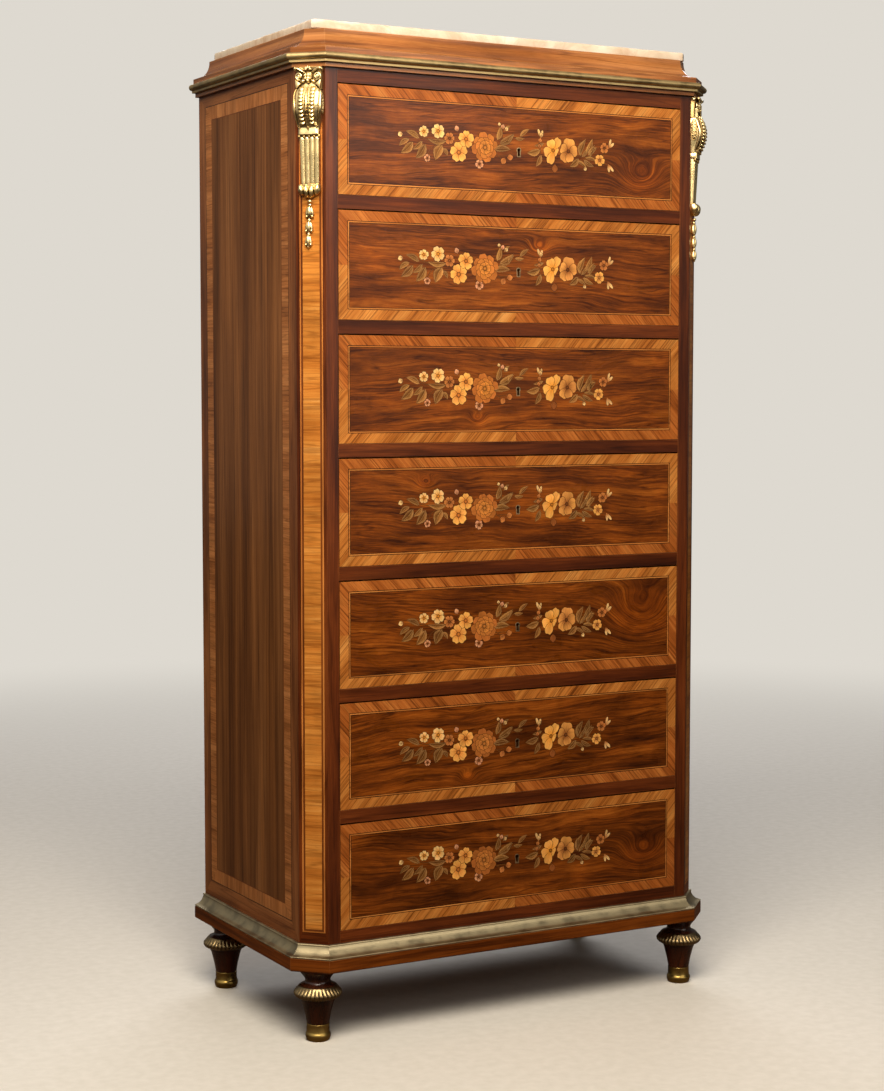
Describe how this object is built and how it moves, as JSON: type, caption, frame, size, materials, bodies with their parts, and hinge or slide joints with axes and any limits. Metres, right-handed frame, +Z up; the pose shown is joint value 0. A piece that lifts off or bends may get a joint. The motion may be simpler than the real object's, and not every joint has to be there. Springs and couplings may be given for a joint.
{
  "type": "semainier",
  "caption": "Tall narrow chest of drawers with canted corners, floral marquetry fronts, moulded cornice, marble top, gilt corner mounts and turned feet.",
  "frame": {"origin": "on the floor under the middle of the bounding box", "axes": "+Z up, drawers open towards -Y, +X to the viewer's right when facing the drawers"},
  "size_m": [0.71, 0.395, 1.435],
  "materials": {
    "dark_veneer": "french polish",
    "side_veneer": "french polish",
    "drawer_veneer": "french polish",
    "drawer_wood": "bare oak",
    "carcass_wood": "bare pine",
    "turned_wood": "french polish",
    "marble": "worn polish",
    "gilt_bronze": "fire gilt, burnished",
    "aged_brass": "satin, aged",
    "lock_brass": "satin",
    "lock_steel": "satin"
  },
  "bodies": {
    "carcass": {"base_board": "carcass_wood", "plinth_moulding": "dark_veneer", "base_brass_cove": "aged_brass", "feet": "turned_wood", "foot_collars": "gilt_bronze", "foot_sabots": "gilt_bronze", "left_corner_post": "dark_veneer", "right_corner_post": "dark_veneer", "left_side_panel": "side_veneer", "right_side_panel": "side_veneer", "back_boards": "carcass_wood", "top_board": "carcass_wood", "cornice_moulding": "dark_veneer", "cornice_brass_bead": "aged_brass", "marble_top": "marble", "top_rail": "dark_veneer", "drawer_rails": "dark_veneer", "bottom_rail": "dark_veneer", "drawer_runners": "drawer_wood", "drawer_guides": "drawer_wood", "drawer_stops": "drawer_wood", "left_corner_mount": "gilt_bronze", "left_mount_drop": "gilt_bronze", "right_corner_mount": "gilt_bronze", "right_mount_drop": "gilt_bronze"},
    "drawer_1": {"drawer_1_front": "drawer_veneer", "drawer_1_box": "drawer_wood", "drawer_1_bottom": "drawer_wood", "drawer_1_lock": "lock_brass"},
    "drawer_1_lock_bolt": {"drawer_1_bolt": "lock_steel"},
    "drawer_2": {"drawer_2_front": "drawer_veneer", "drawer_2_box": "drawer_wood", "drawer_2_bottom": "drawer_wood", "drawer_2_lock": "lock_brass"},
    "drawer_2_lock_bolt": {"drawer_2_bolt": "lock_steel"},
    "drawer_3": {"drawer_3_front": "drawer_veneer", "drawer_3_box": "drawer_wood", "drawer_3_bottom": "drawer_wood", "drawer_3_lock": "lock_brass"},
    "drawer_3_lock_bolt": {"drawer_3_bolt": "lock_steel"},
    "drawer_4": {"drawer_4_front": "drawer_veneer", "drawer_4_box": "drawer_wood", "drawer_4_bottom": "drawer_wood", "drawer_4_lock": "lock_brass"},
    "drawer_4_lock_bolt": {"drawer_4_bolt": "lock_steel"},
    "drawer_5": {"drawer_5_front": "drawer_veneer", "drawer_5_box": "drawer_wood", "drawer_5_bottom": "drawer_wood", "drawer_5_lock": "lock_brass"},
    "drawer_5_lock_bolt": {"drawer_5_bolt": "lock_steel"},
    "drawer_6": {"drawer_6_front": "drawer_veneer", "drawer_6_box": "drawer_wood", "drawer_6_bottom": "drawer_wood", "drawer_6_lock": "lock_brass"},
    "drawer_6_lock_bolt": {"drawer_6_bolt": "lock_steel"},
    "drawer_7": {"drawer_7_front": "drawer_veneer", "drawer_7_box": "drawer_wood", "drawer_7_bottom": "drawer_wood", "drawer_7_lock": "lock_brass"},
    "drawer_7_lock_bolt": {"drawer_7_bolt": "lock_steel"}
  },
  "joints": [
    {"name": "drawer_1_slide", "type": "slide", "parent": "carcass", "child": "drawer_1", "axis": [0, -1, 0], "range_m": [0, 0.27]},
    {"name": "drawer_1_bolt_slide", "type": "slide", "parent": "drawer_1", "child": "drawer_1_lock_bolt", "axis": [0, 0, 1], "range_m": [0, 0.0075]},
    {"name": "drawer_2_slide", "type": "slide", "parent": "carcass", "child": "drawer_2", "axis": [0, -1, 0], "range_m": [0, 0.27]},
    {"name": "drawer_2_bolt_slide", "type": "slide", "parent": "drawer_2", "child": "drawer_2_lock_bolt", "axis": [0, 0, 1], "range_m": [0, 0.0075]},
    {"name": "drawer_3_slide", "type": "slide", "parent": "carcass", "child": "drawer_3", "axis": [0, -1, 0], "range_m": [0, 0.27]},
    {"name": "drawer_3_bolt_slide", "type": "slide", "parent": "drawer_3", "child": "drawer_3_lock_bolt", "axis": [0, 0, 1], "range_m": [0, 0.0075]},
    {"name": "drawer_4_slide", "type": "slide", "parent": "carcass", "child": "drawer_4", "axis": [0, -1, 0], "range_m": [0, 0.27]},
    {"name": "drawer_4_bolt_slide", "type": "slide", "parent": "drawer_4", "child": "drawer_4_lock_bolt", "axis": [0, 0, 1], "range_m": [0, 0.0075]},
    {"name": "drawer_5_slide", "type": "slide", "parent": "carcass", "child": "drawer_5", "axis": [0, -1, 0], "range_m": [0, 0.27]},
    {"name": "drawer_5_bolt_slide", "type": "slide", "parent": "drawer_5", "child": "drawer_5_lock_bolt", "axis": [0, 0, 1], "range_m": [0, 0.0075]},
    {"name": "drawer_6_slide", "type": "slide", "parent": "carcass", "child": "drawer_6", "axis": [0, -1, 0], "range_m": [0, 0.27]},
    {"name": "drawer_6_bolt_slide", "type": "slide", "parent": "drawer_6", "child": "drawer_6_lock_bolt", "axis": [0, 0, 1], "range_m": [0, 0.0075]},
    {"name": "drawer_7_slide", "type": "slide", "parent": "carcass", "child": "drawer_7", "axis": [0, -1, 0], "range_m": [0, 0.27]},
    {"name": "drawer_7_bolt_slide", "type": "slide", "parent": "drawer_7", "child": "drawer_7_lock_bolt", "axis": [0, 0, 1], "range_m": [0, 0.0075]}
  ]
}
